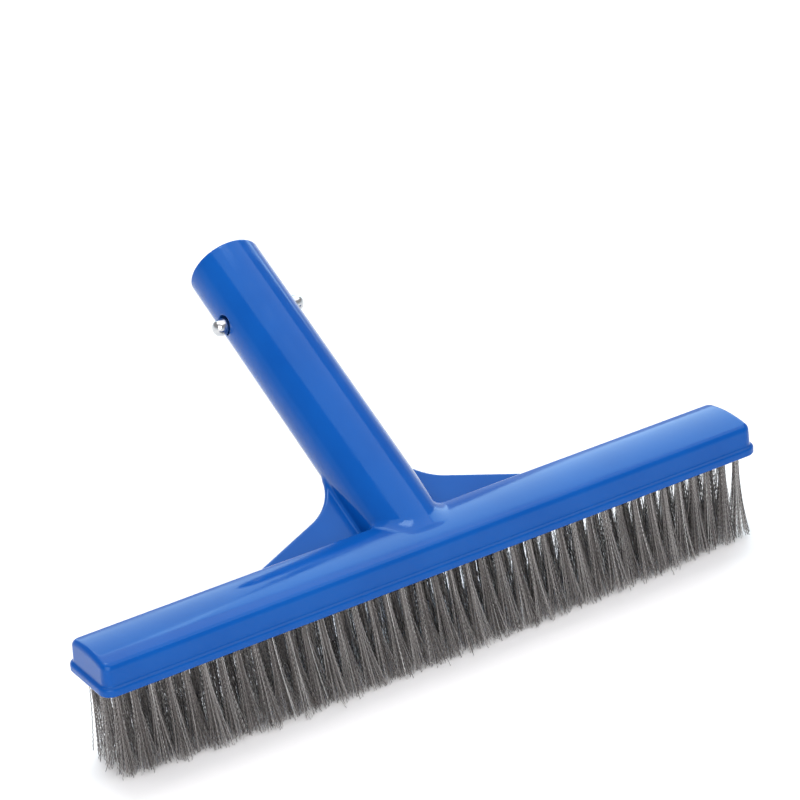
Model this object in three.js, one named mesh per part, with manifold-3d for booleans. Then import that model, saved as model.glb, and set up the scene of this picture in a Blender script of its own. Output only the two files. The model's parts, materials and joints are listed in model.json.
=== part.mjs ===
// Pool wall brush: a moulded head with steel wire tufts below it, and a hollow pole tube that leans back
// from the head and carries a sprung V-clip. Millimetres. X runs along the head, +Y towards the pole,
// +Z up. The brush stands on its wire tips, and the origin is on the floor under the middle of its outline.

import * as THREE from 'three';
import { mergeVertices } from 'three/addons/utils/BufferGeometryUtils.js';
import Module from 'manifold-3d';

const wasm = await Module();
wasm.setup();

// ---- driving dimensions ----
const GAP = 0.3; // clearance between pieces that touch on the real brush

const HEAD_LENGTH = 270; // over the lip
const HEAD_WIDTH = 28.8; // over the lip
const HEAD_HEIGHT = 10.8; // from the lip's underside to the shoulder of the top
const HEAD_CROWN = 1.7; // how much the top rises between its shoulders
const LIP_OVERHANG = 1.3;
const LIP_THICKNESS = 3.2;
const LIP_CORNER = 4.8;
const LIP_ROUND = 1;
const COVER_CORNER = 3.5; // the shell's corners in plan
const SHOULDER = 2; // rounding of the head's top edge
const SIDE_DRAFT = 0.3; // how far the head's long sides lean in towards the shoulder
const WALL_SIDE = 1.35;
const WALL_TOP = 2.2;

const TRIM_LENGTH = 34.5; // free length of the wires below the lip
const TUFT_COLUMNS = 40;
const TUFT_PITCH = 6.6; // along the head
const TUFT_LINES = [-8.3, 0, 8.3]; // across the head
const TUFT_HOLE_RADIUS = 1.9;
const TUFT_HOLE_DEPTH = 6.4;
const ROOT_HALF = 1.05; // half the width of a tuft in its hole
const NECK_HALF = 1.6; // and just below the block
const NECK_DROP = 0.8; // how far below the block's face the neck is
const TIP_HALF_X = TUFT_PITCH / 2 - GAP / 2;
const TIP_REACH = 15; // how far the outer tips spread from the middle line
const NOTCH_HEIGHT = 12; // where the three tufts of a row have spread into each other

const TUBE_RADIUS = 14.25;
const BORE_RADIUS = 11.25;
const TUBE_TILT = THREE.MathUtils.degToRad(61.5); // from vertical, leaning to +Y
const AXIS_DROP = 2.4; // the tube's axis crosses the head's middle plane this far below the lip
const TUBE_START = 5; // along the axis from that crossing, inside the head
const TUBE_END = 147.3;
const BORE_END = 35.5;
const TUBE_CHAMFER = 1;
const FOOT_LIFT = 1; // the tube's foot is trimmed this far above the lip's underside
const POCKET_X = [1.1, 9]; // two pockets core out the foot, either side of a rib
const POCKET_Y = [15.5, 28];
const POCKET_DEPTH = 10;

const WEB_THICKNESS = 2.8;
const WEB_DROP = 4; // how far the webs lie below the plane of the tube's axis
const WEB_HALF_SPAN = 71; // where the webs run into the head's back wall
const WEB_FOOT = 11; // along the axis, inside the head's back wall
const WEB_EDGE_AT = 43.4; // along the axis, where the two sloping edges would cross it
const WEB_SLOPE = 0.39; // fall of the sloping edge per mm away from the tube
const WEB_CURVE = 23; // radius of the hollow curve between the tube and the slope

const CLIP_BEND_AT = 62.3; // along the axis, centre of the V-clip's bend
const CLIP_BEND_RADIUS = 4;
const STRIP_WIDTH = 8;
const STRIP_THICKNESS = 0.9;
const ARM_LENGTH = 60; // from the bend to the pin
const ARM_SPLAY = THREE.MathUtils.degToRad(5.3);
const PIN_RADIUS = 3.175;
const PIN_REACH = 9.5; // from the middle of the strip to the tip
const PIN_DOME = 2.8;
const PIN_HOLE_RADIUS = 3.8;
const RIVET_RADIUS = 1.5;
const RIVET_HEAD_RADIUS = 2.4;
const RIVET_HEAD = 0.9;

const CLEAR = 5; // how far a cutting solid reaches past what it cuts

// ---- derived places ----
const LIP_BOTTOM = TRIM_LENGTH;
const LIP_TOP = LIP_BOTTOM + LIP_THICKNESS;
const HEAD_TOP = LIP_BOTTOM + HEAD_HEIGHT;
const COVER_HALF_LENGTH = HEAD_LENGTH / 2 - LIP_OVERHANG;
const COVER_HALF_WIDTH = HEAD_WIDTH / 2 - LIP_OVERHANG;
const HOLLOW_HALF_LENGTH = COVER_HALF_LENGTH - WALL_SIDE;
const HOLLOW_HALF_WIDTH = COVER_HALF_WIDTH - WALL_SIDE;
const HOLLOW_TOP = HEAD_TOP - WALL_TOP;
const BLOCK_BOTTOM = LIP_BOTTOM + GAP;
const BLOCK_TOP = HOLLOW_TOP - GAP;
const PIN_AT = CLIP_BEND_AT + ARM_LENGTH * Math.cos(ARM_SPLAY); // along the axis
const PIN_HOLE_AT = PIN_AT - 0.1; // the pins lean, so they cross the tube's wall a little lower down

const X = new THREE.Vector3(1, 0, 0);
const Y = new THREE.Vector3(0, 1, 0);
const Z = new THREE.Vector3(0, 0, 1);

// ---- materials ----
const bluePlastic = { color: 0x1f5fc4, roughness: 0.22, metalness: 0 };
const wireSteel = { color: 0x77726c, roughness: 0.38, metalness: 0.9 };
const springSteel = { color: 0xa9abad, roughness: 0.3, metalness: 1 };
const pinSteel = { color: 0xc9cbcd, roughness: 0.18, metalness: 1 };

// ---- solids ----
function solid(geometry) {
  const bare = geometry.clone();
  bare.deleteAttribute('normal');
  bare.deleteAttribute('uv');
  const merged = mergeVertices(bare, 1e-4);
  return new wasm.Manifold(new wasm.Mesh({
    numProp: 3,
    vertProperties: new Float32Array(merged.attributes.position.array),
    triVerts: new Uint32Array(merged.index.array),
  }));
}

function geometryOf(body) {
  const mesh = body.getMesh();
  const geometry = new THREE.BufferGeometry();
  geometry.setAttribute('position', new THREE.BufferAttribute(new Float32Array(mesh.vertProperties), 3));
  geometry.setIndex(new THREE.BufferAttribute(new Uint32Array(mesh.triVerts), 1));
  geometry.computeVertexNormals();
  return geometry;
}

function piece(name, geometry, look) {
  const mesh = new THREE.Mesh(geometry, new THREE.MeshStandardMaterial(look));
  mesh.name = name;
  return mesh;
}

function boxSolid(x0, x1, y0, y1, z0, z1) {
  const box = new THREE.BoxGeometry(x1 - x0, y1 - y0, z1 - z0);
  return solid(box.translate((x0 + x1) / 2, (y0 + y1) / 2, (z0 + z1) / 2));
}

// ---- outlines ----
function roundedRectangle(halfX, halfY, radius) {
  const shape = new THREE.Shape();
  shape.absarc(halfX - radius, halfY - radius, radius, 0, Math.PI / 2);
  shape.absarc(radius - halfX, halfY - radius, radius, Math.PI / 2, Math.PI);
  shape.absarc(radius - halfX, radius - halfY, radius, Math.PI, 1.5 * Math.PI);
  shape.absarc(halfX - radius, radius - halfY, radius, 1.5 * Math.PI, 2 * Math.PI);
  return shape;
}

// A plan outline raised from z0 to z1, its top and bottom edges rounded.
function raised(halfX, halfY, corner, z0, z1, round) {
  const shape = roundedRectangle(halfX - round, halfY - round, Math.max(corner - round, 0.2));
  const slab = new THREE.ExtrudeGeometry(shape, {
    depth: z1 - z0 - 2 * round,
    bevelEnabled: round > 0,
    bevelThickness: round,
    bevelSize: round,
    bevelSegments: 4,
    curveSegments: 4,
  });
  return solid(slab.translate(0, 0, z0 + round));
}

// A cross-section run both ways from its middle plane, its own X and Y laid along two given directions.
function run(shape, halfLength, shapeX, shapeY) {
  const bar = new THREE.ExtrudeGeometry(shape, {
    depth: 2 * halfLength,
    bevelEnabled: false,
    curveSegments: 6,
  });
  const turn = new THREE.Matrix4().makeBasis(shapeX, shapeY, shapeX.clone().cross(shapeY));
  return bar.translate(0, 0, -halfLength).applyMatrix4(turn);
}

// ---- the tube's own frame: Z along the tube, X along the head ----
const tubeFrame = new THREE.Matrix4().makeRotationX(-TUBE_TILT).setPosition(0, 0, LIP_BOTTOM - AXIS_DROP);

function turned(profile, segments) {
  const points = profile.map(([radius, height]) => new THREE.Vector2(radius, height));
  return new THREE.LatheGeometry(points, segments).rotateX(Math.PI / 2);
}

function tubeBar(radius, from, to, chamfer) {
  const profile = [[0, from], [radius, from], [radius, to - chamfer], [radius - chamfer, to], [0, to]];
  return solid(turned(profile, 32).applyMatrix4(tubeFrame));
}

// ---- head cover: crowned shell, lip, pole tube and webs in one moulding ----
function coverSection() {
  const shoulderY = COVER_HALF_WIDTH - SIDE_DRAFT - SHOULDER;
  const shoulderZ = HEAD_TOP - SHOULDER;
  const foot = LIP_BOTTOM + LIP_THICKNESS / 2; // inside the lip
  const rise = Math.atan2(2 * HEAD_CROWN, shoulderY); // slope of the crown where it leaves the shoulder
  const crownY = shoulderY + SHOULDER * Math.sin(rise);
  const crownZ = shoulderZ + SHOULDER * Math.cos(rise);
  const shape = new THREE.Shape();
  shape.moveTo(-COVER_HALF_WIDTH, foot);
  shape.lineTo(COVER_HALF_WIDTH, foot);
  shape.absarc(shoulderY, shoulderZ, SHOULDER, 0, Math.PI / 2 - rise);
  shape.quadraticCurveTo(0, crownZ + crownY * Math.tan(rise), -crownY, crownZ);
  shape.absarc(-shoulderY, shoulderZ, SHOULDER, Math.PI / 2 + rise, Math.PI);
  return shape;
}

// One web each side of the tube, just below its axis: a hollow curve off the tube, then a slope.
function webs() {
  const curveX = TUBE_RADIUS + WEB_CURVE;
  const curveZ = WEB_EDGE_AT - WEB_SLOPE * curveX + WEB_CURVE * Math.hypot(1, WEB_SLOPE);
  const sweep = Math.atan(1 / WEB_SLOPE);
  const slopeEnd = WEB_EDGE_AT - WEB_SLOPE * WEB_HALF_SPAN;
  const shape = new THREE.Shape();
  shape.moveTo(-WEB_HALF_SPAN, WEB_FOOT);
  shape.lineTo(WEB_HALF_SPAN, WEB_FOOT);
  shape.lineTo(WEB_HALF_SPAN, slopeEnd);
  shape.absarc(curveX, curveZ, WEB_CURVE, Math.PI + sweep, Math.PI, true);
  shape.absarc(-curveX, curveZ, WEB_CURVE, 0, -sweep, true);
  shape.lineTo(-WEB_HALF_SPAN, slopeEnd);
  return solid(run(shape, WEB_THICKNESS / 2, X, Z).translate(0, WEB_DROP, 0).applyMatrix4(tubeFrame));
}

function pinHoles() {
  const drill = new THREE.CylinderGeometry(PIN_HOLE_RADIUS, PIN_HOLE_RADIUS, 3 * TUBE_RADIUS, 16);
  drill.rotateZ(Math.PI / 2).translate(0, 0, PIN_HOLE_AT);
  return solid(drill.applyMatrix4(tubeFrame));
}

function footPockets() {
  const [inner, outer] = POCKET_X;
  const [front, back] = POCKET_Y;
  const right = boxSolid(inner, outer, front, back, LIP_BOTTOM - CLEAR, LIP_BOTTOM + POCKET_DEPTH);
  const left = boxSolid(-outer, -inner, front, back, LIP_BOTTOM - CLEAR, LIP_BOTTOM + POCKET_DEPTH);
  return right.add(left);
}

function headCover() {
  const plan = raised(COVER_HALF_LENGTH, COVER_HALF_WIDTH, COVER_CORNER, LIP_BOTTOM - CLEAR,
    HEAD_TOP + HEAD_CROWN, SHOULDER);
  const shell = solid(run(coverSection(), HEAD_LENGTH / 2, Y, Z)).intersect(plan);
  const lip = raised(HEAD_LENGTH / 2, HEAD_WIDTH / 2, LIP_CORNER, LIP_BOTTOM, LIP_TOP, LIP_ROUND);
  const belowFoot = boxSolid(-HEAD_LENGTH, HEAD_LENGTH, -TUBE_END, TUBE_END, 0, LIP_BOTTOM + FOOT_LIFT);
  const handle = tubeBar(TUBE_RADIUS, TUBE_START, TUBE_END, TUBE_CHAMFER).add(webs()).subtract(belowFoot);
  const hollow = raised(HOLLOW_HALF_LENGTH, HOLLOW_HALF_WIDTH, COVER_CORNER - WALL_SIDE, LIP_BOTTOM - CLEAR,
    HOLLOW_TOP, 0);
  return shell.add(lip).add(handle)
    .subtract(hollow)
    .subtract(tubeBar(BORE_RADIUS, BORE_END, TUBE_END + CLEAR, 0))
    .subtract(pinHoles())
    .subtract(footPockets());
}

// ---- tuft block: the drilled bar that fits up into the cover and holds the wire tufts ----
function tuftX(column) {
  return (column - (TUFT_COLUMNS - 1) / 2) * TUFT_PITCH;
}

function tuftBlock() {
  const bar = raised(HOLLOW_HALF_LENGTH - GAP, HOLLOW_HALF_WIDTH - GAP, COVER_CORNER - WALL_SIDE - GAP,
    BLOCK_BOTTOM, BLOCK_TOP, 0);
  const holes = [];
  for (let column = 0; column < TUFT_COLUMNS; column += 1) {
    for (const y of TUFT_LINES) {
      const drill = new THREE.CylinderGeometry(
        TUFT_HOLE_RADIUS, TUFT_HOLE_RADIUS, 2 * TUFT_HOLE_DEPTH, 6);
      holes.push(solid(drill.rotateX(Math.PI / 2).translate(tuftX(column), y, BLOCK_BOTTOM)));
    }
  }
  return bar.subtract(wasm.Manifold.union(holes));
}

// ---- wire tufts: one row across the head, three tufts that spread into each other at the tips ----
function rowAcross() {
  const rootTop = BLOCK_BOTTOM + TUFT_HOLE_DEPTH - GAP;
  const faceLevel = BLOCK_BOTTOM - GAP;
  const neckLevel = faceLevel - NECK_DROP;
  const comb = new THREE.Shape();
  comb.moveTo(TIP_REACH, 0);
  for (const y of [...TUFT_LINES].reverse()) {
    comb.lineTo(y + NECK_HALF, neckLevel);
    comb.lineTo(y + ROOT_HALF, faceLevel);
    comb.lineTo(y + ROOT_HALF, rootTop);
    comb.lineTo(y - ROOT_HALF, rootTop);
    comb.lineTo(y - ROOT_HALF, faceLevel);
    comb.lineTo(y - NECK_HALF, neckLevel);
    if (y > TUFT_LINES[0]) comb.lineTo(y - (TUFT_LINES[1] - TUFT_LINES[0]) / 2, NOTCH_HEIGHT);
  }
  comb.lineTo(-TIP_REACH, 0);

  const taper = new THREE.Shape();
  taper.moveTo(-TIP_HALF_X, 0);
  taper.lineTo(TIP_HALF_X, 0);
  taper.lineTo(NECK_HALF, neckLevel);
  taper.lineTo(ROOT_HALF, faceLevel);
  taper.lineTo(ROOT_HALF, rootTop + GAP);
  taper.lineTo(-ROOT_HALF, rootTop + GAP);
  taper.lineTo(-ROOT_HALF, faceLevel);
  taper.lineTo(-NECK_HALF, neckLevel);
  return solid(run(comb, TIP_HALF_X + GAP, Y, Z)).intersect(solid(run(taper, TIP_REACH + GAP, X, Z)));
}

// ---- V-clip: a bent steel strip in the tube, each arm carrying a pin that stands out of the tube ----
function clipBend() {
  const shape = new THREE.Shape();
  const outer = CLIP_BEND_RADIUS + STRIP_THICKNESS / 2;
  shape.absarc(0, 0, outer, Math.PI, 2 * Math.PI);
  shape.absarc(0, 0, outer - STRIP_THICKNESS, 2 * Math.PI, Math.PI, true);
  return run(shape, STRIP_WIDTH / 2, X, Z);
}

// A straight strip along +Z with a round end about the pin's rivet hole, its thickness across X.
function clipArm() {
  const shape = new THREE.Shape();
  const half = STRIP_WIDTH / 2;
  shape.moveTo(half, GAP);
  shape.absarc(0, ARM_LENGTH, half, 0, Math.PI);
  shape.lineTo(-half, GAP);
  const rivetHole = new THREE.Path();
  rivetHole.absarc(0, ARM_LENGTH, RIVET_RADIUS + GAP, 0, 2 * Math.PI, true);
  shape.holes.push(rivetHole);
  return run(shape, STRIP_THICKNESS / 2, Y, Z);
}

// A round pin along +X with a domed tip, riveted through the strip.
function clipPin() {
  const face = STRIP_THICKNESS / 2 + GAP;
  const profile = [
    [0, -face - RIVET_HEAD], [RIVET_HEAD_RADIUS, -face - RIVET_HEAD], [RIVET_HEAD_RADIUS, -face],
    [RIVET_RADIUS, -face], [RIVET_RADIUS, face], [PIN_RADIUS, face],
  ];
  for (let step = 0; step < 4; step += 1) {
    const angle = (step / 4) * (Math.PI / 2);
    profile.push([PIN_RADIUS * Math.cos(angle), PIN_REACH - PIN_DOME * (1 - Math.sin(angle))]);
  }
  profile.push([0, PIN_REACH]);
  return turned(profile, 16).rotateY(Math.PI / 2);
}

function arm(side, sideName) {
  const group = new THREE.Group();
  group.position.set(side * CLIP_BEND_RADIUS, 0, CLIP_BEND_AT);
  group.rotation.y = side * ARM_SPLAY;
  const strip = piece(`clip_${sideName}_arm`, clipArm(), springSteel);
  const pin = piece(`clip_${sideName}_pin`, clipPin(), pinSteel);
  pin.position.z = ARM_LENGTH;
  if (side < 0) pin.rotation.z = Math.PI;
  group.add(strip, pin);
  return group;
}

function vClip() {
  const group = new THREE.Group();
  group.applyMatrix4(tubeFrame);
  const bend = piece('clip_bend', clipBend(), springSteel);
  bend.position.z = CLIP_BEND_AT;
  group.add(bend, arm(-1, 'left'), arm(1, 'right'));
  return group;
}

// ---- the brush ----
const brush = new THREE.Group();
brush.add(piece('head_cover', geometryOf(headCover()), bluePlastic));
brush.add(piece('tuft_block', geometryOf(tuftBlock()), bluePlastic));
const rowGeometry = geometryOf(rowAcross());
for (let column = 0; column < TUFT_COLUMNS; column += 1) {
  const row = piece(`tuft_row_${String(column + 1).padStart(2, '0')}`, rowGeometry, wireSteel);
  row.position.x = tuftX(column);
  brush.add(row);
}
brush.add(vClip());

// The origin goes on the floor under the middle of the outline, tube and head together.
const outline = new THREE.Box3().setFromObject(brush);
brush.position.y = -(outline.min.y + outline.max.y) / 2;

export default brush;
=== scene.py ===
"""Pool wall brush: the looks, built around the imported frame.

The head cover is one moulding, meshed from a distance field so that its fillets and rounded edges are real
surface. The wires are modelled one by one. Everything rides on the body that its CAD node belongs to.
"""

import json
import math

import bmesh
import bpy
import numpy as np
from mathutils import Matrix, Vector


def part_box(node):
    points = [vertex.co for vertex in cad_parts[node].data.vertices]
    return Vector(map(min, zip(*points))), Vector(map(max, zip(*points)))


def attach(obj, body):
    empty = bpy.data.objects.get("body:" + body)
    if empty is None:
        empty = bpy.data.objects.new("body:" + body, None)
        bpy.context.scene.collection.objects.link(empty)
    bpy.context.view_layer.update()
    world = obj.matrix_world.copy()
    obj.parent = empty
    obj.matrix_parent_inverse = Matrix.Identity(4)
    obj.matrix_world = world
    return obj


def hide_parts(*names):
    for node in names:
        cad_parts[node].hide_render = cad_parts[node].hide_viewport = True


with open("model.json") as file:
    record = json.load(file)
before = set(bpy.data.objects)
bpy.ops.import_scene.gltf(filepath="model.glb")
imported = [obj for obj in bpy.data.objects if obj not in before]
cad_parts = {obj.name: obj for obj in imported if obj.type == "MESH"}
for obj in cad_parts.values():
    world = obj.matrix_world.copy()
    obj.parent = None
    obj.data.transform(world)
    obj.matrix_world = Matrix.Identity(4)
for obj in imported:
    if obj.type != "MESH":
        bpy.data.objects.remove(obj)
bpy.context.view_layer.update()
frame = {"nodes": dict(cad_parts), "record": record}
record = frame["record"]
MM = 0.001

# ---- the view: where the camera stands, seen from the head ----
VIEW_AZIMUTH = -30.2  # degrees, 0 looks along +Y
VIEW_ELEVATION = 25.98
VIEW_ROLL = -5.04
VIEW_DISTANCE = 1.1759  # metres from the aim to the camera
VIEW_LENS = 151.8  # mm on a 36 mm sensor
AIM_OFFSET = Vector((0.00695, 0.02112, 0.05046))  # from the middle of the lip's underside

# ---- the frame's own places, in mm with the head's middle line at Y = 0 ----
cover_low, cover_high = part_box("head_cover")
block_low, block_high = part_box("tuft_block")
MIDDLE_Y = (block_low.y + block_high.y) / 2
LIP_BOTTOM = cover_low.z / MM
HALF_LENGTH = cover_high.x / MM
HALF_WIDTH = (MIDDLE_Y - cover_low.y) / MM
BLOCK_HALF_LENGTH = block_high.x / MM
BLOCK_HALF_WIDTH = (block_high.y - block_low.y) / 2 / MM
BLOCK_BOTTOM = block_low.z / MM
BLOCK_TOP = block_high.z / MM
ROWS = sorted(name for name in frame["nodes"] if name.startswith("tuft_row"))
ROW_X = [(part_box(name)[0].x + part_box(name)[1].x) / 2 / MM for name in ROWS]

tube_mount = next(mount for mount in record["mounts"] if mount["name"] == "tube_end")
pin_joint = next(joint for joint in record["behaviour"]["joints"] if joint["name"] == "right_pin_press")
AXIS = np.array(tube_mount["axis"])  # along the tube, away from the head
ACROSS = np.array(pin_joint["axis"])  # square to the tube and to X, upwards
PIVOT = (np.array(pin_joint["pos_m"]) - [0, MIDDLE_Y, 0]) / MM
ORIGIN = PIVOT - AXIS * (PIVOT[1] / AXIS[1])  # where the tube's axis crosses the head's middle plane
ORIGIN[0] = 0
TUBE_END = float((np.array(tube_mount["pos_m"]) / MM - [0, MIDDLE_Y / MM, 0] - ORIGIN) @ AXIS)
BEND_AT = float((PIVOT - ORIGIN) @ AXIS)
BEND_RADIUS = PIVOT[0]

# ---- sizes of the moulding, in mm, as in the part's own source ----
HEAD_HEIGHT = 10.8
HEAD_CROWN = 1.7
LIP_OVERHANG = 1.3
LIP_THICKNESS = 3.2
LIP_CORNER = 4.8
SHELL_START = 1.0  # where the shell begins above the lip's underside
COVER_CORNER = 3.5
DRAFT = 0.04  # how far the head's side walls lean in per mm of height
WALL_SIDE = 1.35
WALL_TOP = 2.2
TUBE_RADIUS = 14.25
BORE_RADIUS = 11.25
BORE_END = 35.5
TUBE_START = 5.0  # along the tube, inside the head
FOOT_LIFT = 1.0  # how far the handle's trimmed foot lies above the lip's underside
WEB_THICKNESS = 2.8
WEB_DROP = 4.0  # how far the webs lie below the plane of the tube's axis
WEB_CURVE = 23.0  # radius of the web's edge beside the tube
WEB_SLOPE = 0.39  # how far the sloping edge falls, along the tube, per mm out from it
WEB_EDGE_AT = 43.4  # where the sloping edge's line crosses the tube's axis, along the tube
WEB_START = 12.5
WEB_STOP = 51.0  # where the curve has all but met the tube's wall
POCKETS = ((1.1, 9.0), (15.5, 28.0), 10.0)  # X span, Y span and depth of the pockets in the tube's foot
POCKET_CORNER = 1.0

# ---- sizes of the clip and its pins, in mm ----
STRIP_WIDTH = 8.0
STRIP_THICKNESS = 0.9
ARM_LENGTH = 60.0  # from the bend to the pin
ARM_SPLAY = math.radians(5.3)
PIN_RADIUS = 3.175
PIN_REACH = 9.5  # from the middle of the strip to the tip
PIN_DOME = 3.0  # length of the domed tip
SHANK_RADIUS = 1.5
RIVET_RADIUS = 2.4
PIN_HOLE_RADIUS = 3.8
# the pins lean, so they cross the tube's wall a little lower down
PIN_HOLE_AT = BEND_AT + ARM_LENGTH * math.cos(ARM_SPLAY) - 0.1

# ---- radii of the moulding's rounded edges and fillets, in mm ----
SHOULDER = 2.0
LIP_TOP_EDGE = 1.2
LIP_BOTTOM_EDGE = 0.5
LIP_FILLET = 0.5
TUBE_RIM = 0.9
WEB_EDGE = 1.2
WEB_FOOT = 0.2
WEB_TIP = 4.0
WEB_FILLET = 1.6
FOOT_EDGE = 0.8
FOOT_FILLET = 2.6
HOLLOW_EDGE = 0.35
HOLLOW_CORNER = 0.6
BORE_EDGE = 0.5
BORE_CORNER = 1.5
PIN_HOLE_EDGE = 0.4
POCKET_EDGE = 0.3
POCKET_BOTTOM = 0.8
HIDDEN_EDGE = 0.3  # of ends that lie inside the moulding

# ---- sizes of the tufts, in mm ----
LINE_PITCH = 8.3
TUFTS = (  # across the head: place, wires, radius of the bundle in its hole, how late the wires fan out
    (-LINE_PITCH, 56, 1.1, 2.1),
    (0.0, 50, 1.3, 1.6),
    (LINE_PITCH, 50, 1.25, 1.4),
)
HOLE_RADIUS = 1.9
HOLE_DEPTH = 6.4
HOLE_CHAMFER = 0.25
HOLE_SIDES = 16
WIRE_RADIUS = 0.125
WIRE_SIDES = 3
WIRE_ROOT_GAP = 0.4  # between the wires' roots and the end of the hole
CRIMP_LENGTH = 1.9
CRIMP_DEPTH = 0.15
STEPS_PER_CRIMP = 4
# how far the tips lean away from the middle line, at the head's ends and halfway
LEAN_OUT = (-0.5, 4.4)
# how far the tips lean along the head, at its left end, halfway and at its right end
LEAN_ALONG = (1.8, 2.6, -1.0)
LEAN_SCATTER = (0.3, 0.5)  # along and across
# how many times wider a tuft is at its tips than in its hole, along and across
TIP_SPREAD = (3.7, 3.8)
TIP_SCATTER = 0.8
STRAY_SHARE = 0.04  # of the wires, which stand out from their tuft
STRAY_SCATTER = 2.8
TRIM_SCATTER = 1.2  # most wires end within this height
TRIM_SHORTEST = 2.0  # what a few fall short by on top of that


# ---------------------------------------------------------------- distance fields
def round_and(a, b, radius):
    """Where both are inside, with the edge between them rounded."""
    corner = np.hypot(np.maximum(a + radius, 0), np.maximum(b + radius, 0))
    return np.minimum(np.maximum(a, b), -radius) + corner


def round_or(a, b, radius):
    """Both together, with a fillet where they meet."""
    return -round_and(-a, -b, radius)


def round_cut(a, b, radius):
    """The first less the second, with the edge between them rounded."""
    return round_and(a, -b, radius)


def plan_distance(x, y, half_x, half_y, corner):
    """A rounded rectangle seen from above."""
    qx = np.abs(x) - half_x + corner
    qy = np.abs(y) - half_y + corner
    outside = np.hypot(np.maximum(qx, 0), np.maximum(qy, 0))
    return outside + np.minimum(np.maximum(qx, qy), 0) - corner


def head_distance(x, y, z):
    """The crowned shell on its rounded lip."""
    half_x, half_y = HALF_LENGTH - LIP_OVERHANG, HALF_WIDTH - LIP_OVERHANG
    height = z - LIP_BOTTOM
    sides = plan_distance(x, y, half_x, half_y, COVER_CORNER) + DRAFT * (height - LIP_THICKNESS)
    top = height - HEAD_HEIGHT - HEAD_CROWN * (1 - (y / half_y) ** 2)
    shell = round_and(round_and(sides, top, SHOULDER), SHELL_START - height, HIDDEN_EDGE)
    rim = plan_distance(x, y, HALF_LENGTH, HALF_WIDTH, LIP_CORNER)
    lip = round_and(round_and(rim, height - LIP_THICKNESS, LIP_TOP_EDGE), -height, LIP_BOTTOM_EDGE)
    return round_or(shell, lip, LIP_FILLET)


def tube_coordinates(y, z):
    """Height above the tube's axis, and distance along it."""
    up = (y - ORIGIN[1]) * ACROSS[1] + (z - ORIGIN[2]) * ACROSS[2]
    along = (y - ORIGIN[1]) * AXIS[1] + (z - ORIGIN[2]) * AXIS[2]
    return up, along


def web_outline(x, along):
    """The webs' edge: a hollow curve off the tube, then a slope down to the head."""
    slope_length = math.hypot(1, WEB_SLOPE)
    wall = math.sqrt(TUBE_RADIUS**2 - WEB_DROP**2)  # the tube's half-width at the height of the webs
    curve_x = wall + WEB_CURVE
    curve_along = WEB_EDGE_AT - WEB_SLOPE * curve_x + WEB_CURVE * slope_length
    from_x, from_along = np.abs(x) - curve_x, along - curve_along
    slope = (along - WEB_EDGE_AT + WEB_SLOPE * np.abs(x)) / slope_length
    on_curve = (from_along < 0) & (from_x < WEB_SLOPE * from_along)
    return np.where(on_curve, WEB_CURVE - np.hypot(from_x, from_along), np.minimum(slope, np.abs(x) - wall))


def handle_distance(x, y, z):
    """The pole tube with a web each side, trimmed level at its foot."""
    up, along = tube_coordinates(y, z)
    tube = round_and(np.hypot(x, up) - TUBE_RADIUS, along - TUBE_END, TUBE_RIM)
    tube = round_and(tube, TUBE_START - along, HIDDEN_EDGE)
    web = round_and(web_outline(x, along), np.abs(up + WEB_DROP) - WEB_THICKNESS / 2, WEB_EDGE)
    web = round_and(round_and(web, WEB_START - along, WEB_FOOT), along - WEB_STOP, WEB_TIP)
    handle = round_or(tube, web, WEB_FILLET)
    return round_and(handle, LIP_BOTTOM + FOOT_LIFT - z, FOOT_EDGE)


def cover_distance(x, y, z):
    """Head and handle, less the hollow for the block, the bore, the pin holes and two pockets."""
    up, along = tube_coordinates(y, z)
    cover = round_or(head_distance(x, y, z), handle_distance(x, y, z), FOOT_FILLET)
    hollow_x = HALF_LENGTH - LIP_OVERHANG - WALL_SIDE
    hollow_y = HALF_WIDTH - LIP_OVERHANG - WALL_SIDE
    hollow = plan_distance(x, y, hollow_x, hollow_y, COVER_CORNER - WALL_SIDE)
    hollow = round_and(hollow, z - LIP_BOTTOM - HEAD_HEIGHT + WALL_TOP, HOLLOW_CORNER)
    cover = round_cut(cover, hollow, HOLLOW_EDGE)
    bore = round_and(np.hypot(x, up) - BORE_RADIUS, BORE_END - along, BORE_CORNER)
    cover = round_cut(cover, bore, BORE_EDGE)
    cover = round_cut(cover, np.hypot(up, along - PIN_HOLE_AT) - PIN_HOLE_RADIUS, PIN_HOLE_EDGE)
    (x0, x1), (y0, y1), depth = POCKETS
    from_x, from_y = np.abs(x) - (x0 + x1) / 2, y - (y0 + y1) / 2
    pocket = plan_distance(from_x, from_y, (x1 - x0) / 2, (y1 - y0) / 2, POCKET_CORNER)
    pocket = round_and(pocket, z - LIP_BOTTOM - depth, POCKET_BOTTOM)
    return round_cut(cover, pocket, POCKET_EDGE)


# ---------------------------------------------------------------- surface of a distance field
def sampled(distance, low, counts, step, block=32):
    """The field on a grid. A block that is clear of the surface keeps one value for all of it."""
    field = np.empty(counts, np.float32)
    steepest = 1.25  # a margin, because the field isn't an exact distance
    reach = step * block * math.sqrt(3) / 2 * steepest + step
    for i in range(0, counts[0], block):
        for j in range(0, counts[1], block):
            for k in range(0, counts[2], block):
                part = (slice(i, i + block), slice(j, j + block), slice(k, k + block))
                centre = [low[axis] + step * (start + block / 2) for axis, start in enumerate((i, j, k))]
                middle = float(distance(*[np.array([value]) for value in centre])[0])
                if abs(middle) > reach:
                    field[part] = middle
                    continue
                axes = []
                for axis, span in enumerate(part):
                    axes.append(low[axis] + step * np.arange(span.start, min(span.stop, counts[axis])))
                field[part] = distance(*np.meshgrid(*axes, indexing="ij"))
    return field


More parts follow.
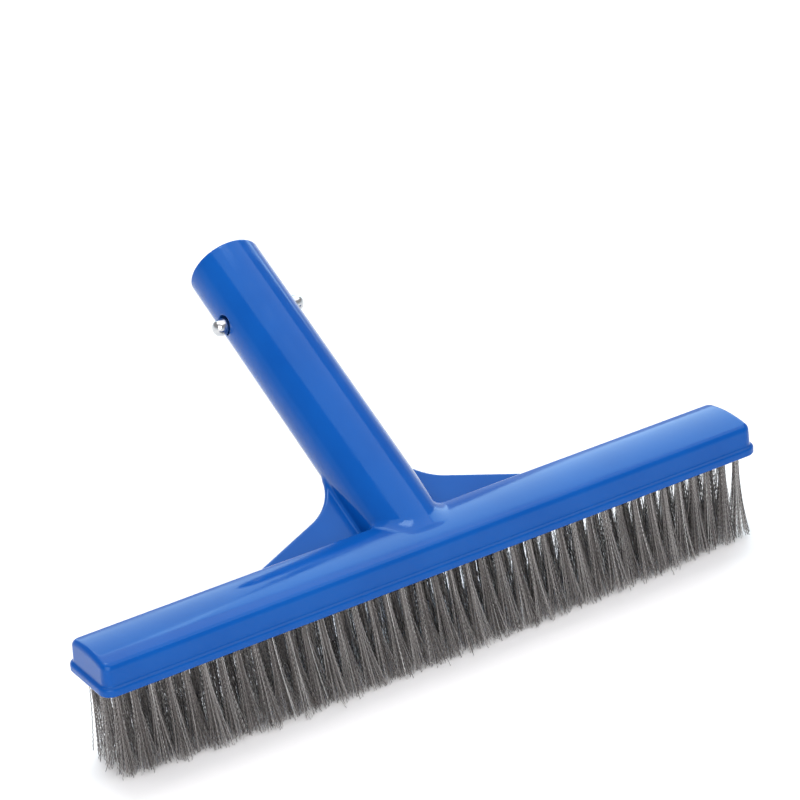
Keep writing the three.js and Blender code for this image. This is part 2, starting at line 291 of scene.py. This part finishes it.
def surface_net(field, low, step):
    """One vertex in each cell that the surface crosses, and one quad for each grid edge that it crosses."""
    cells = np.array(field.shape) - 1
    inside = field < 0
    quads, flat_ids, crossings = [], [], []
    for axis in range(3):
        ahead = [slice(None)] * 3
        behind = [slice(None)] * 3
        ahead[axis], behind[axis] = slice(1, None), slice(None, -1)
        crossed = inside[tuple(ahead)] != inside[tuple(behind)]
        where = np.argwhere(crossed)
        a = field[tuple(behind)][crossed]
        b = field[tuple(ahead)][crossed]
        points = where.astype(float)
        points[:, axis] += a / (a - b)
        others = [other for other in range(3) if other != axis]
        around = []
        for shift_u, shift_v in ((0, 0), (1, 0), (1, 1), (0, 1)):
            cell = where.copy()
            cell[:, others[0]] -= shift_u
            cell[:, others[1]] -= shift_v
            around.append(np.ravel_multi_index(np.clip(cell, 0, cells - 1).T, cells))
        around = np.array(around).T
        flat_ids.append(around.ravel())
        crossings.append(np.repeat(points, 4, axis=0))
        leaving = a < 0
        if axis == 1:
            leaving = ~leaving
        quads.append(np.where(leaving[:, None], around, around[:, ::-1]))
    flat_ids, crossings = np.concatenate(flat_ids), np.concatenate(crossings)
    used, index = np.unique(flat_ids, return_inverse=True)
    total = np.bincount(index, minlength=len(used))
    vertices = np.stack([np.bincount(index, crossings[:, a], len(used)) / total for a in range(3)], 1)
    faces = np.searchsorted(used, np.concatenate(quads))
    return low + vertices * step, faces


def gradient(distance, points, reach=0.02):
    """The field's unit normals at the points."""
    slopes = []
    for axis in range(3):
        shift = np.zeros(3)
        shift[axis] = reach
        slopes.append(distance(*(points + shift).T) - distance(*(points - shift).T))
    slopes = np.array(slopes).T
    return slopes / np.maximum(np.linalg.norm(slopes, axis=1, keepdims=True), 1e-9)


def settled(distance, points, rounds=2):
    """Points moved onto the surface, along its normal."""
    for _ in range(rounds):
        points = points - gradient(distance, points) * distance(*points.T)[:, None]
    return points


def mesh_object(name, vertices_mm, faces):
    """A smooth mesh in metres in the frame, from places in mm about the head's middle line."""
    mesh = bpy.data.meshes.new(name)
    vertices = np.asarray(vertices_mm, float) * MM + [0, MIDDLE_Y, 0]
    faces = np.asarray(faces)
    corners = faces.shape[1]
    mesh.vertices.add(len(vertices))
    mesh.vertices.foreach_set("co", vertices.astype(np.float32).ravel())
    mesh.loops.add(faces.size)
    mesh.loops.foreach_set("vertex_index", faces.astype(np.int32).ravel())
    mesh.polygons.add(len(faces))
    mesh.polygons.foreach_set("loop_start", np.arange(len(faces), dtype=np.int32) * corners)
    mesh.update(calc_edges=True)
    mesh.validate()
    mesh.polygons.foreach_set("use_smooth", np.full(len(mesh.polygons), True))
    piece = bpy.data.objects.new(name, mesh)
    bpy.context.scene.collection.objects.link(piece)
    return piece


def bmesh_object(name, mesh, material, smooth=False):
    """A piece from a finished bmesh, which is freed."""
    data = bpy.data.meshes.new(name)
    mesh.to_mesh(data)
    mesh.free()
    data.polygons.foreach_set("use_smooth", np.full(len(data.polygons), smooth))
    data.materials.append(material)
    piece = bpy.data.objects.new(name, data)
    bpy.context.scene.collection.objects.link(piece)
    return piece


def apply_modifiers(piece):
    """The piece's modifiers, made part of its mesh."""
    seen = bpy.context.evaluated_depsgraph_get()
    mesh = bpy.data.meshes.new_from_object(piece.evaluated_get(seen))
    piece.modifiers.clear()
    piece.data = mesh


# ---------------------------------------------------------------- materials
class Nodes:
    """A material's node tree, written in short."""

    def __init__(self, name):
        self.material = bpy.data.materials.new(name)
        self.material.use_nodes = True
        self.tree = self.material.node_tree
        self.shader = self.tree.nodes["Principled BSDF"]
        self.place = self.add("ShaderNodeTexCoord").outputs["Object"]

    def add(self, kind, **settings):
        """A new node. Each setting is one of its inputs, or else one of its properties."""
        node = self.tree.nodes.new(kind)
        for key, value in settings.items():
            if key in node.inputs:
                node.inputs[key].default_value = value
            else:
                setattr(node, key, value)
        return node

    def link(self, start, end):
        self.tree.links.new(start, end)

    def noise(self, scale, detail=3.0, stretch=None):
        node = self.add("ShaderNodeTexNoise", Scale=scale, Detail=detail)
        place = self.place
        if stretch:
            mapping = self.add("ShaderNodeMapping")
            mapping.inputs["Scale"].default_value = stretch
            self.link(place, mapping.inputs["Vector"])
            place = mapping.outputs["Vector"]
        self.link(place, node.inputs["Vector"])
        return node.outputs["Fac"]

    def ramp(self, value, stops):
        node = self.add("ShaderNodeValToRGB")
        elements = node.color_ramp.elements
        while len(elements) < len(stops):
            elements.new(0.5)
        for element, (position, colour) in zip(elements, stops):
            element.position = position
            element.color = (*colour, 1)
        self.link(value, node.inputs["Fac"])
        return node.outputs["Color"]

    def span(self, value, low, high, start, end):
        """The value's range from start to end, spread over low to high."""
        node = self.add("ShaderNodeMapRange")
        node.inputs["From Min"].default_value = start
        node.inputs["From Max"].default_value = end
        node.inputs["To Min"].default_value = low
        node.inputs["To Max"].default_value = high
        self.link(value, node.inputs["Value"])
        return node.outputs["Result"]

    def bump(self, height, strength, distance, under=None):
        node = self.add("ShaderNodeBump", Strength=strength, Distance=distance)
        self.link(height, node.inputs["Height"])
        if under:
            self.link(under, node.inputs["Normal"])
        return node.outputs["Normal"]


def blue_plastic(name, deep, light, roughness):
    """Glossy moulded polypropylene: slight clouding of the colour, faint flow marks, fine handling marks."""
    nodes = Nodes(name)
    clouds = nodes.noise(28.0, 4.0)
    nodes.link(nodes.ramp(clouds, [(0.35, deep), (0.68, light)]), nodes.shader.inputs["Base Color"])
    smears = nodes.noise(90.0, 5.0, stretch=(0.35, 1.4, 1.4))
    worn = nodes.span(smears, roughness - 0.05, roughness + 0.09, 0.3, 0.75)
    nodes.link(worn, nodes.shader.inputs["Roughness"])
    ripple = nodes.bump(nodes.noise(55.0, 2.0), 0.10, 0.0006)
    skin = nodes.bump(nodes.noise(1500.0, 2.0), 0.05, 0.0001, ripple)
    nodes.link(skin, nodes.shader.inputs["Normal"])
    nodes.shader.inputs["IOR"].default_value = 1.36
    nodes.shader.inputs["Specular Tint"].default_value = (0.6, 0.88, 1.0, 1.0)
    return nodes.material


def wire_steel(name):
    """Drawn stainless wire: each wire a shade of its own, with dull and bright stretches along it."""
    nodes = Nodes(name)
    island = nodes.add("ShaderNodeNewGeometry").outputs["Random Per Island"]
    shade = nodes.ramp(island, [(0.0, (0.13, 0.118, 0.113)), (0.5, (0.35, 0.322, 0.312)),
                                (0.85, (0.56, 0.53, 0.515)), (1.0, (0.95, 0.94, 0.92))])
    nodes.link(shade, nodes.shader.inputs["Base Color"])
    streaks = nodes.noise(700.0, 2.0)
    nodes.link(nodes.span(streaks, 0.24, 0.52, 0.3, 0.7), nodes.shader.inputs["Roughness"])
    nodes.link(nodes.bump(nodes.noise(4000.0, 1.0), 0.15, 0.00003), nodes.shader.inputs["Normal"])
    nodes.shader.inputs["Metallic"].default_value = 1.0
    return nodes.material


def bright_steel(name, shade, roughness, grain):
    """Spring strip or pin steel, with drawn grain and small scuffs."""
    nodes = Nodes(name)
    scuffs = nodes.noise(240.0, 5.0)
    darker = tuple(0.82 * value for value in shade)
    nodes.link(nodes.ramp(scuffs, [(0.35, darker), (0.65, shade)]), nodes.shader.inputs["Base Color"])
    lines = nodes.noise(900.0, 3.0, stretch=grain)
    drawn = nodes.span(lines, roughness - 0.06, roughness + 0.1, 0.3, 0.7)
    nodes.link(drawn, nodes.shader.inputs["Roughness"])
    nodes.link(nodes.bump(lines, 0.12, 0.00004), nodes.shader.inputs["Normal"])
    nodes.shader.inputs["Metallic"].default_value = 1.0
    return nodes.material


def pale_floor(name):
    """A matt white floor, lit up beyond the reach of the lamps so that it stays pale out to the horizon."""
    nodes = Nodes(name)
    nodes.link(nodes.ramp(nodes.noise(3.0), [(0.3, (0.95, 0.935, 0.93)), (0.7, (0.97, 0.955, 0.95))]),
               nodes.shader.inputs["Base Color"])
    nodes.shader.inputs["Roughness"].default_value = 0.7
    lamps_reach, far = 1.1, 2.6  # metres from the middle of the floor
    distance = nodes.add("ShaderNodeVectorMath", operation="LENGTH")
    nodes.link(nodes.place, distance.inputs[0])
    glow = nodes.span(distance.outputs["Value"], 0.0, 0.65, lamps_reach, far)
    nodes.link(glow, nodes.shader.inputs["Emission Strength"])
    nodes.shader.inputs["Emission Color"].default_value = (1, 1, 1, 1)
    return nodes.material


# ---------------------------------------------------------------- the moulding
def head_cover(material):
    """The moulding, meshed from its distance field and settled onto the field's surface."""
    step = 0.6
    margin = 1.5
    low = np.array([-HALF_LENGTH, -HALF_WIDTH, LIP_BOTTOM]) - margin
    high = np.array([HALF_LENGTH, (cover_high.y - MIDDLE_Y) / MM, cover_high.z / MM]) + margin
    counts = tuple(int(n) for n in np.ceil((high - low) / step) + 1)
    field = sampled(cover_distance, low, counts, step)
    vertices, faces = surface_net(field, low, step)
    piece = mesh_object("cover_moulding", vertices, faces)
    thin = piece.modifiers.new("thin", "DECIMATE")
    thin.ratio = 0.55
    apply_modifiers(piece)
    mesh = piece.data
    points = np.empty(len(mesh.vertices) * 3, np.float32)
    mesh.vertices.foreach_get("co", points)
    points = (points.reshape(-1, 3).astype(float) - [0, MIDDLE_Y, 0]) / MM
    points = settled(cover_distance, points)
    mesh.vertices.foreach_set("co", (points * MM + [0, MIDDLE_Y, 0]).astype(np.float32).ravel())
    mesh.normals_split_custom_set_from_vertices(gradient(cover_distance, points).tolist())
    mesh.update()
    mesh.materials.append(material)
    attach(piece, "brush")
    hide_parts("head_cover")


# ---------------------------------------------------------------- the drilled block
def tuft_block(material):
    """A bar with a round hole for each tuft: each hole's ring is bridged to its own cell of the face."""
    edges_y = [-BLOCK_HALF_WIDTH, -LINE_PITCH / 2, LINE_PITCH / 2, BLOCK_HALF_WIDTH]
    edges_x = [-BLOCK_HALF_LENGTH] + [(a + b) / 2 for a, b in zip(ROW_X, ROW_X[1:])] + [BLOCK_HALF_LENGTH]
    mesh = bmesh.new()
    for x, x0, x1 in zip(ROW_X, edges_x, edges_x[1:]):
        for (y, *_), y0, y1 in zip(TUFTS, edges_y, edges_y[1:]):
            drilled_cell(mesh, (x0, x, x1), (y0, y, y1))
    bmesh.ops.remove_doubles(mesh, verts=mesh.verts, dist=1e-6)
    rim = [edge for edge in mesh.edges if edge.is_boundary]
    walls = bmesh.ops.extrude_edge_only(mesh, edges=rim)["geom"]
    for vertex in (part for part in walls if isinstance(part, bmesh.types.BMVert)):
        vertex.co.z = BLOCK_TOP * MM
    bmesh.ops.contextual_create(mesh, geom=[edge for edge in mesh.edges if edge.is_boundary])
    bmesh.ops.recalc_face_normals(mesh, faces=mesh.faces)
    piece = bmesh_object("block_bar", mesh, material)
    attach(piece, "brush")
    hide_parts("tuft_block")


def drilled_cell(mesh, span_x, span_y):
    """One hole and its rectangle of the face. A span is the low edge, the hole's middle, the high edge."""
    (x0, x, x1), (y0, y, y1) = span_x, span_y

    def point(px, py, pz):
        return mesh.verts.new((px * MM, py * MM + MIDDLE_Y, pz * MM))

    turns = [2 * math.pi * (side + 0.5) / HOLE_SIDES for side in range(HOLE_SIDES)]
    edge = []
    for turn in turns:
        cos, sin = math.cos(turn), math.sin(turn)
        reach_x = (x1 - x if cos > 0 else x - x0) / abs(cos)
        reach_y = (y1 - y if sin > 0 else y - y0) / abs(sin)
        reach = min(reach_x, reach_y)
        edge.append(point(x + reach * cos, y + reach * sin, BLOCK_BOTTOM))
    rings = [edge]
    hole = ((HOLE_RADIUS + HOLE_CHAMFER, 0), (HOLE_RADIUS, HOLE_CHAMFER), (HOLE_RADIUS, HOLE_DEPTH))
    for radius, depth in hole:
        ring = []
        for turn in turns:
            ring.append(point(x + radius * math.cos(turn), y + radius * math.sin(turn), BLOCK_BOTTOM + depth))
        rings.append(ring)
    for outer, inner in zip(rings, rings[1:]):
        for side in range(HOLE_SIDES):
            after = (side + 1) % HOLE_SIDES
            mesh.faces.new((outer[side], inner[side], inner[after], outer[after]))
    mesh.faces.new(rings[-1][::-1])
    for quarter, (corner_x, corner_y) in enumerate(((x1, y1), (x0, y1), (x0, y0), (x1, y0))):
        first = edge[(quarter * HOLE_SIDES // 4 + 1) % HOLE_SIDES]
        last = edge[(quarter * HOLE_SIDES // 4 + 2) % HOLE_SIDES]
        mesh.faces.new((first, last, point(corner_x, corner_y, BLOCK_BOTTOM))).normal_flip()


# ---------------------------------------------------------------- wires
def wire_paths(random, x, y, count, bundle, fan):
    """Centre lines of one tuft's wires: (wires, points, 3), from the bottom of the hole to the tips."""
    top = BLOCK_BOTTOM + HOLE_DEPTH - WIRE_ROOT_GAP
    points = int(top / CRIMP_LENGTH * STEPS_PER_CRIMP) + 1
    t = np.linspace(0, 1, points)[None, :]  # 0 at the root, 1 at the tip
    angle = random.uniform(0, 2 * math.pi, count)
    radius = bundle * np.sqrt(random.uniform(0, 1, count))
    root = np.stack([radius * np.cos(angle), radius * np.sin(angle)], 1)
    towards_end = abs(x / BLOCK_HALF_LENGTH) ** 3
    left_end, halfway, right_end = LEAN_ALONG
    along = halfway + ((left_end if x < 0 else right_end) - halfway) * towards_end
    out = LEAN_OUT[1] + (LEAN_OUT[0] - LEAN_OUT[1]) * towards_end
    lean = np.array([along, out * np.sign(y)]) + random.normal(0, LEAN_SCATTER)
    tip = root * TIP_SPREAD + random.normal(0, TIP_SCATTER, (count, 2))
    stray = random.uniform(0, 1, count) < STRAY_SHARE
    tip[stray] += random.normal(0, STRAY_SCATTER, (int(stray.sum()), 2))
    below = np.clip((t * top - HOLE_DEPTH) / (top - HOLE_DEPTH), 0, 1)
    bend = below ** random.uniform(0.8 * fan, 1.2 * fan, (count, 1))
    path = np.zeros((count, points, 3))
    for axis in range(2):
        path[:, :, axis] = root[:, axis : axis + 1] * (1 - bend) + tip[:, axis : axis + 1] * bend
        path[:, :, axis] += lean[axis] * below**1.1
    trim = random.uniform(0, TRIM_SCATTER, (count, 1))
    trim = trim + TRIM_SHORTEST * random.uniform(0, 1, (count, 1)) ** 4
    path[:, :, 2] = top - t * (top - trim - WIRE_RADIUS)
    facing = random.uniform(0, 2 * math.pi, (count, 1))
    phase = random.uniform(0, 2 * math.pi, (count, 1))
    swing = CRIMP_DEPTH * random.uniform(0.5, 1.4, (count, 1))
    turns = t * top / CRIMP_LENGTH
    freedom = np.clip(below * 8, 0.25, 1)  # the wires are held straighter in the hole
    wave = swing * np.sin(2 * math.pi * turns + phase) * freedom
    path[:, :, 0] += wave * np.cos(facing) + x
    path[:, :, 1] += wave * np.sin(facing) + y
    return path


def wire_mesh(paths):
    """Three-sided wires about the centre lines: vertices and triangles, with a cap on each end."""
    wires, points, _ = paths.shape
    turns = 2 * math.pi * np.arange(WIRE_SIDES) / WIRE_SIDES
    ring = np.stack([np.cos(turns), np.sin(turns), np.zeros(WIRE_SIDES)], 1) * WIRE_RADIUS
    vertices = (paths[:, :, None, :] + ring[None, None]).reshape(-1, 3)
    step = WIRE_SIDES * np.arange(points - 1)[:, None]
    side = np.arange(WIRE_SIDES)
    after = (side + 1) % WIRE_SIDES
    walls = np.stack([step + side, step + after, step + WIRE_SIDES + after, step + WIRE_SIDES + side], -1)
    walls = walls.reshape(-1, 4)[:, ::-1]
    caps = np.stack([side, (points - 1) * WIRE_SIDES + side[::-1]])
    offsets = (np.arange(wires) * points * WIRE_SIDES)[:, None, None]
    walls = (walls[None] + offsets).reshape(-1, 4)
    caps = (caps[None] + offsets).reshape(-1, WIRE_SIDES)
    return vertices, np.concatenate([walls[:, [0, 1, 2]], walls[:, [0, 2, 3]], caps])


def tuft_row(name, x, seed, material):
    """The wires of the tufts in one row across the head."""
    random = np.random.default_rng(seed)
    paths = np.concatenate([wire_paths(random, x, *tuft) for tuft in TUFTS])
    piece = mesh_object(name.replace("tuft_row", "wires"), *wire_mesh(paths))
    piece.data.materials.append(material)
    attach(piece, "brush")
    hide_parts(name)


# ---------------------------------------------------------------- the V-clip
def tube_matrix(x=0.0, along=0.0, splay=0.0):
    """A place on the tube: Z along it, X along the head, turned by splay about the direction across both."""
    base = Matrix(((1, 0, 0), (0, -ACROSS[1], AXIS[1]), (0, -ACROSS[2], AXIS[2]))).to_4x4()
    start = (ORIGIN + AXIS * along) * MM
    base.translation = Vector((x * MM, start[1] + MIDDLE_Y, start[2]))
    return base @ Matrix.Rotation(splay, 4, "Y")


def strip_piece(name, centre, material):
    """A flat strip with eased edges, along a centre line of X, Z and the share of the full width there."""
    mesh = bmesh.new()
    width = np.array([1, 0.975, -0.975, -1]) * STRIP_WIDTH / 2
    depth = np.array([0.6, 1, 1, 0.6]) * STRIP_THICKNESS / 2
    outline = list(zip(width, depth)) + list(zip(width[::-1], -depth[::-1]))
    centre = np.array(centre, float)
    heading = np.gradient(centre[:, :2], axis=0)
    heading /= np.linalg.norm(heading, axis=1, keepdims=True)
    rings = []
    for (x, z, narrow), (hx, hz) in zip(centre, heading):
        ring = [mesh.verts.new(((x + hz * d) * MM, w * narrow * MM, (z - hx * d) * MM)) for w, d in outline]
        rings.append(ring)
    for ring, following in zip(rings, rings[1:]):
        for side in range(len(outline)):
            after = (side + 1) % len(outline)
            mesh.faces.new((ring[side], ring[after], following[after], following[side]))
    mesh.faces.new(rings[0][::-1])
    mesh.faces.new(rings[-1])
    bmesh.ops.recalc_face_normals(mesh, faces=mesh.faces)
    return bmesh_object(name, mesh, material, smooth=True)


def finished_strip(piece, matrix, node, body):
    """The strip in its place, riding and replacing what it stands for."""
    piece.data.transform(matrix)
    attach(piece, body)
    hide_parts(node)


def v_clip(strip_material, pin_material):
    """The bend on the brush's own body, and an arm with its pin on each side."""
    angles = np.linspace(math.pi, 2 * math.pi, 25)
    bend_line = [(BEND_RADIUS * math.cos(a), BEND_RADIUS * math.sin(a), 1.0) for a in angles]
    bend = strip_piece("clip_bend_strip", bend_line, strip_material)
    finished_strip(bend, tube_matrix(along=BEND_AT), "clip_bend", "brush")
    for side, word in ((-1, "left"), (1, "right")):
        place = tube_matrix(side * BEND_RADIUS, BEND_AT, side * ARM_SPLAY)
        strip = strip_piece(f"clip_{word}_strip", arm_line(), strip_material)
        finished_strip(strip, place, f"clip_{word}_arm", f"{word}_arm")
        pin = lock_pin(f"clip_{word}_stud", pin_material)
        facing = Matrix.Rotation(math.pi, 4, "Z") if side < 0 else Matrix.Identity(4)
        pin.data.transform(place @ Matrix.Translation((0, 0, ARM_LENGTH * MM)) @ facing)
        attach(pin, f"{word}_arm")
        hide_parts(f"clip_{word}_pin")


def arm_line():
    """An arm's centre line: straight from just above the bend, with a round end about the pin."""
    end_radius = STRIP_WIDTH / 2
    narrowest = 0.12
    line = [(0, height, 1.0) for height in np.linspace(0.3, ARM_LENGTH, 24)]
    for turn in np.linspace(0.15, 1.5, 9):
        past = end_radius * math.sin(turn)
        share = math.sqrt(1 - (past / (end_radius + 0.01)) ** 2)
        line.append((0, ARM_LENGTH + past, max(narrowest, share)))
    return line


def lock_pin(name, material):
    """A turned pin along +X: rivet head, shank, body and a domed tip."""
    face = STRIP_THICKNESS / 2
    rivet = [(0, 1.2), (1.6, 1.15), (2.2, 0.9), (RIVET_RADIUS, 0.45), (RIVET_RADIUS, 0.05)]
    profile = [(radius, -face - height) for radius, height in rivet]
    profile += [(SHANK_RADIUS, -face), (SHANK_RADIUS, face), (PIN_RADIUS - 0.3, face + 0.05)]
    profile += [(PIN_RADIUS, face + 0.3), (PIN_RADIUS, PIN_REACH - PIN_DOME)]
    for turn in np.linspace(0.1, 1, 10):
        angle = turn * math.pi / 2
        radius = PIN_RADIUS * math.cos(angle) ** 0.9 if turn < 1 else 0
        profile.append((radius, PIN_REACH - PIN_DOME + PIN_DOME * math.sin(angle)))
    mesh = bmesh.new()
    spine = [mesh.verts.new((along * MM, radius * MM, 0)) for radius, along in profile]
    edges = [mesh.edges.new(pair) for pair in zip(spine, spine[1:])]
    bmesh.ops.spin(mesh, geom=spine + edges, cent=(0, 0, 0), axis=(1, 0, 0), angle=2 * math.pi, steps=40)
    bmesh.ops.remove_doubles(mesh, verts=mesh.verts, dist=1e-6)
    bmesh.ops.recalc_face_normals(mesh, faces=mesh.faces)
    return bmesh_object(name, mesh, material, smooth=True)


# ---------------------------------------------------------------- stage
def camera():
    azimuth, elevation = math.radians(VIEW_AZIMUTH), math.radians(VIEW_ELEVATION)
    back = Vector((math.sin(azimuth) * math.cos(elevation), -math.cos(azimuth) * math.cos(elevation),
                   math.sin(elevation)))
    aim = Vector((0, MIDDLE_Y, LIP_BOTTOM * MM)) + AIM_OFFSET
    data = bpy.data.cameras.new("view")
    data.lens = VIEW_LENS
    data.sensor_width = 36
    data.clip_start = 0.05
    data.clip_end = 50
    view = bpy.data.objects.new("view", data)
    turn = back.to_track_quat("Z", "Y").to_matrix().to_4x4()
    view.matrix_world = Matrix.Translation(aim + back * VIEW_DISTANCE) @ turn @ Matrix.Rotation(
        math.radians(VIEW_ROLL), 4, "Z")
    bpy.context.scene.collection.objects.link(view)
    bpy.context.scene.camera = view


def lamp(name, size, power, place, aim, colour=(1, 1, 1)):
    data = bpy.data.lights.new(name, "AREA")
    data.shape = "RECTANGLE"
    data.size, data.size_y = size
    data.energy = power
    data.color = colour
    light = bpy.data.objects.new(name, data)
    direction = Vector(aim) - Vector(place)
    light.matrix_world = Matrix.Translation(place) @ direction.to_track_quat("-Z", "Y").to_matrix().to_4x4()
    bpy.context.scene.collection.objects.link(light)


def floor(material):
    mesh = bmesh.new()
    bmesh.ops.create_grid(mesh, x_segments=8, y_segments=8, size=6)
    bmesh_object("floor", mesh, material)


def studio():
    """A pale horizon under a dimmer sky, softboxes above, behind and in front, and one small bright lamp."""
    world = bpy.data.worlds.new("studio")
    world.use_nodes = True
    tree = world.node_tree
    place = tree.nodes.new("ShaderNodeTexCoord")
    parts = tree.nodes.new("ShaderNodeSeparateXYZ")
    ramp = tree.nodes.new("ShaderNodeValToRGB")
    tree.links.new(place.outputs["Generated"], parts.inputs["Vector"])
    tree.links.new(parts.outputs["Z"], ramp.inputs["Fac"])
    tree.links.new(ramp.outputs["Color"], tree.nodes["Background"].inputs["Color"])
    horizon, sky = ramp.color_ramp.elements
    horizon.position = 0.16
    horizon.color = (0.78, 0.88, 0.95, 1)
    sky.position = 0.3
    sky.color = (0.36, 0.36, 0.37, 1)
    bpy.context.scene.world = world
    bpy.context.scene.view_settings.view_transform = "Standard"
    head = (0, MIDDLE_Y, LIP_BOTTOM * MM)
    daylight = (0.6, 0.87, 1.0)
    lamp("overhead", (2.6, 2.0), 25, (0.3, 0.2, 1.7), head)
    lamp("behind_left", (0.9, 1.35), 7.4, (0.45, 1.87, 1.1), head, daylight)
    lamp("behind_right", (1.18, 1.35), 13.5, (1.4, 1.32, 1.1), head, daylight)
    lamp("front_left", (1.8, 1.8), 32, (-1.1, -1.5, 1.2), head)
    lamp("sparkle", (0.45, 0.45), 4, (0.0, 0.4, 1.55), head)


# ---------------------------------------------------------------- build
camera()
studio()
floor(pale_floor("floor_white"))
head_cover(blue_plastic("cover_blue", (0.001, 0.065, 0.315), (0.002, 0.077, 0.35), 0.1))
tuft_block(blue_plastic("block_blue", (0.001, 0.055, 0.27), (0.002, 0.065, 0.31), 0.4))
wires = wire_steel("wire_steel")
for order, (row, row_x) in enumerate(zip(ROWS, ROW_X)):
    tuft_row(row, row_x, 700 + order, wires)
v_clip(bright_steel("spring_steel", (0.5, 0.5, 0.5), 0.3, (1, 1, 6)),
       bright_steel("pin_steel", (0.62, 0.62, 0.63), 0.16, (6, 1, 1)))
